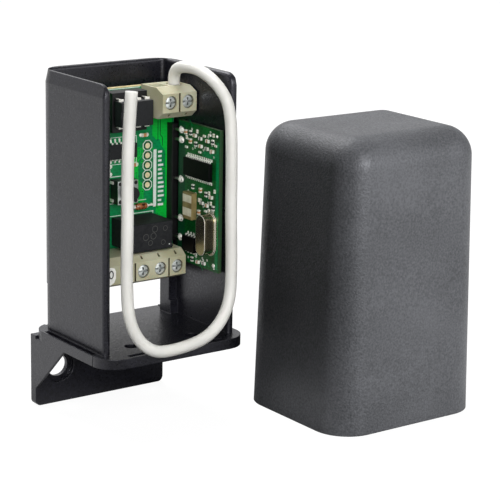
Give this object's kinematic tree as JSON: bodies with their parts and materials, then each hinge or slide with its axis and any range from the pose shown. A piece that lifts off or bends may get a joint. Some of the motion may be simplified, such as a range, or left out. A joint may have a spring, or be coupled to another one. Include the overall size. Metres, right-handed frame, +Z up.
{
  "type": "gate radio receiver",
  "caption": "Small radio receiver for a gate: upright circuit board with screw terminals in a flanged chassis, wire antenna, and a tall cap standing beside it.",
  "frame": {"origin": "on the wall plane at the flange's back face, midway between its two holes", "axes": "+X along the flange to the right seen from the open front, +Y into the wall, +Z up"},
  "size_m": [0.0953, 0.0653, 0.0882],
  "materials": {
    "charcoal_plastic": "fine matte texture, moulded",
    "circuit_board": "green solder mask over glass fibre",
    "beige_housing": "smooth moulded",
    "plated_screw": "zinc plated",
    "plated_clamp": "zinc plated",
    "tinned_pin": "tinned",
    "black_housing": "moulded",
    "chip_plastic": "moulded epoxy",
    "button_metal": "pressed sheet",
    "dome_metal": "spring sheet",
    "relay_plastic": "moulded",
    "coil_copper": "enamelled wire",
    "orange_glass": "clear over an orange junction",
    "pale_ceramic": "fired ceramic with metal ends",
    "tan_ceramic": "moulded, banded",
    "crystal_can": "drawn can",
    "capacitor_can": "sleeved can",
    "white_jacket": "smooth extruded",
    "copper_wire": "drawn",
    "white_label": "printed tag"
  },
  "bodies": {
    "receiver": {"antenna_terminal_contacts": "tinned_pin", "antenna_terminal_housing": "beige_housing", "antenna_wire": "white_jacket", "antenna_wire_core": "copper_wire", "board_passives": "pale_ceramic", "button_body": "black_housing", "button_dome": "dome_metal", "button_legs": "tinned_pin", "button_plate": "button_metal", "ceramic_filter": "tan_ceramic", "chassis": "charcoal_plastic", "chip_socket": "black_housing", "chip_socket_pins": "tinned_pin", "controller_chip": "chip_plastic", "controller_chip_leads": "tinned_pin", "crystal": "crystal_can", "diode_glass": "orange_glass", "diode_leads": "tinned_pin", "logic_chip": "chip_plastic", "logic_chip_leads": "tinned_pin", "main_board": "circuit_board", "memory_chip": "chip_plastic", "memory_chip_leads": "tinned_pin", "output_terminal_1_housing": "beige_housing", "output_terminal_2_housing": "beige_housing", "output_terminal_3_housing": "beige_housing", "output_terminal_contacts": "tinned_pin", "radio_board": "circuit_board", "radio_chip": "chip_plastic", "radio_chip_leads": "tinned_pin", "radio_header": "black_housing", "radio_header_pins": "tinned_pin", "radio_passives": "pale_ceramic", "relay_base": "relay_plastic", "relay_case": "relay_plastic", "relay_coil": "coil_copper", "relay_core": "button_metal", "relay_pins": "tinned_pin", "smoothing_capacitor": "capacitor_can", "terminal_label": "white_label", "voltage_regulator": "chip_plastic"},
    "cover": {"cover": "charcoal_plastic"},
    "button": {"button_plunger": "black_housing"},
    "antenna_screw_left": {"antenna_screw_left": "plated_screw"},
    "antenna_clamp_left": {"antenna_clamp_left": "plated_clamp"},
    "antenna_screw_right": {"antenna_screw_right": "plated_screw"},
    "antenna_clamp_right": {"antenna_clamp_right": "plated_clamp"},
    "output_screw_1": {"output_screw_1": "plated_screw"},
    "output_clamp_1": {"output_clamp_1": "plated_clamp"},
    "output_screw_2": {"output_screw_2": "plated_screw"},
    "output_clamp_2": {"output_clamp_2": "plated_clamp"},
    "output_screw_3": {"output_screw_3": "plated_screw"},
    "output_clamp_3": {"output_clamp_3": "plated_clamp"},
    "output_screw_4": {"output_screw_4": "plated_screw"},
    "output_clamp_4": {"output_clamp_4": "plated_clamp"},
    "output_screw_5": {"output_screw_5": "plated_screw"},
    "output_clamp_5": {"output_clamp_5": "plated_clamp"},
    "output_screw_6": {"output_screw_6": "plated_screw"},
    "output_clamp_6": {"output_clamp_6": "plated_clamp"}
  },
  "joints": [
    {"name": "cover_lift", "type": "slide", "parent": "receiver", "child": "cover", "axis": [0, 0, 1], "range_m": [0, 0.12]},
    {"name": "button_press", "type": "slide", "parent": "receiver", "child": "button", "axis": [0, 1, 0], "range_m": [0, 0.00025], "stiffness_N_per_m": 400, "springref_m": -0.001},
    {"name": "antenna_clamp_left_slide", "type": "slide", "parent": "receiver", "child": "antenna_clamp_left", "axis": [0, -1, 0], "range_m": [0, 0.0016]},
    {"name": "antenna_screw_left_turn", "type": "hinge", "parent": "receiver", "child": "antenna_screw_left", "pos_m": [0.01111, -0.01654, 0.06846], "axis": [0, 1, 0], "range_deg": [-10, 1290]},
    {"name": "antenna_clamp_right_slide", "type": "slide", "parent": "receiver", "child": "antenna_clamp_right", "axis": [0, -1, 0], "range_m": [-0.00105, 0]},
    {"name": "antenna_screw_right_turn", "type": "hinge", "parent": "receiver", "child": "antenna_screw_right", "pos_m": [0.01619, -0.01654, 0.06846], "axis": [0, 1, 0], "range_deg": [-850, 10]},
    {"name": "output_clamp_1_slide", "type": "slide", "parent": "receiver", "child": "output_clamp_1", "axis": [0, -1, 0], "range_m": [0, 0.0016]},
    {"name": "output_screw_1_turn", "type": "hinge", "parent": "receiver", "child": "output_screw_1", "pos_m": [-0.01195, -0.01654, 0.02636], "axis": [0, 1, 0], "range_deg": [-10, 1290]},
    {"name": "output_clamp_2_slide", "type": "slide", "parent": "receiver", "child": "output_clamp_2", "axis": [0, -1, 0], "range_m": [0, 0.0016]},
    {"name": "output_screw_2_turn", "type": "hinge", "parent": "receiver", "child": "output_screw_2", "pos_m": [-0.00686, -0.01654, 0.02636], "axis": [0, 1, 0], "range_deg": [-10, 1290]},
    {"name": "output_clamp_3_slide", "type": "slide", "parent": "receiver", "child": "output_clamp_3", "axis": [0, -1, 0], "range_m": [0, 0.0016]},
    {"name": "output_screw_3_turn", "type": "hinge", "parent": "receiver", "child": "output_screw_3", "pos_m": [-0.00178, -0.01654, 0.02636], "axis": [0, 1, 0], "range_deg": [-10, 1290]},
    {"name": "output_clamp_4_slide", "type": "slide", "parent": "receiver", "child": "output_clamp_4", "axis": [0, -1, 0], "range_m": [0, 0.0016]},
    {"name": "output_screw_4_turn", "type": "hinge", "parent": "receiver", "child": "output_screw_4", "pos_m": [0.0033, -0.01654, 0.02636], "axis": [0, 1, 0], "range_deg": [-10, 1290]},
    {"name": "output_clamp_5_slide", "type": "slide", "parent": "receiver", "child": "output_clamp_5", "axis": [0, -1, 0], "range_m": [0, 0.0016]},
    {"name": "output_screw_5_turn", "type": "hinge", "parent": "receiver", "child": "output_screw_5", "pos_m": [0.00838, -0.01654, 0.02636], "axis": [0, 1, 0], "range_deg": [-10, 1290]},
    {"name": "output_clamp_6_slide", "type": "slide", "parent": "receiver", "child": "output_clamp_6", "axis": [0, -1, 0], "range_m": [0, 0.0016]},
    {"name": "output_screw_6_turn", "type": "hinge", "parent": "receiver", "child": "output_screw_6", "pos_m": [0.01345, -0.01654, 0.02636], "axis": [0, 1, 0], "range_deg": [-10, 1290]}
  ],
  "couplings": [
    {"joint": "antenna_screw_left_turn", "follows": "antenna_clamp_left_slide", "rad_per_m": 13963},
    {"joint": "antenna_screw_right_turn", "follows": "antenna_clamp_right_slide", "rad_per_m": 13963},
    {"joint": "output_screw_1_turn", "follows": "output_clamp_1_slide", "rad_per_m": 13963},
    {"joint": "output_screw_2_turn", "follows": "output_clamp_2_slide", "rad_per_m": 13963},
    {"joint": "output_screw_3_turn", "follows": "output_clamp_3_slide", "rad_per_m": 13963},
    {"joint": "output_screw_4_turn", "follows": "output_clamp_4_slide", "rad_per_m": 13963},
    {"joint": "output_screw_5_turn", "follows": "output_clamp_5_slide", "rad_per_m": 13963},
    {"joint": "output_screw_6_turn", "follows": "output_clamp_6_slide", "rad_per_m": 13963}
  ]
}
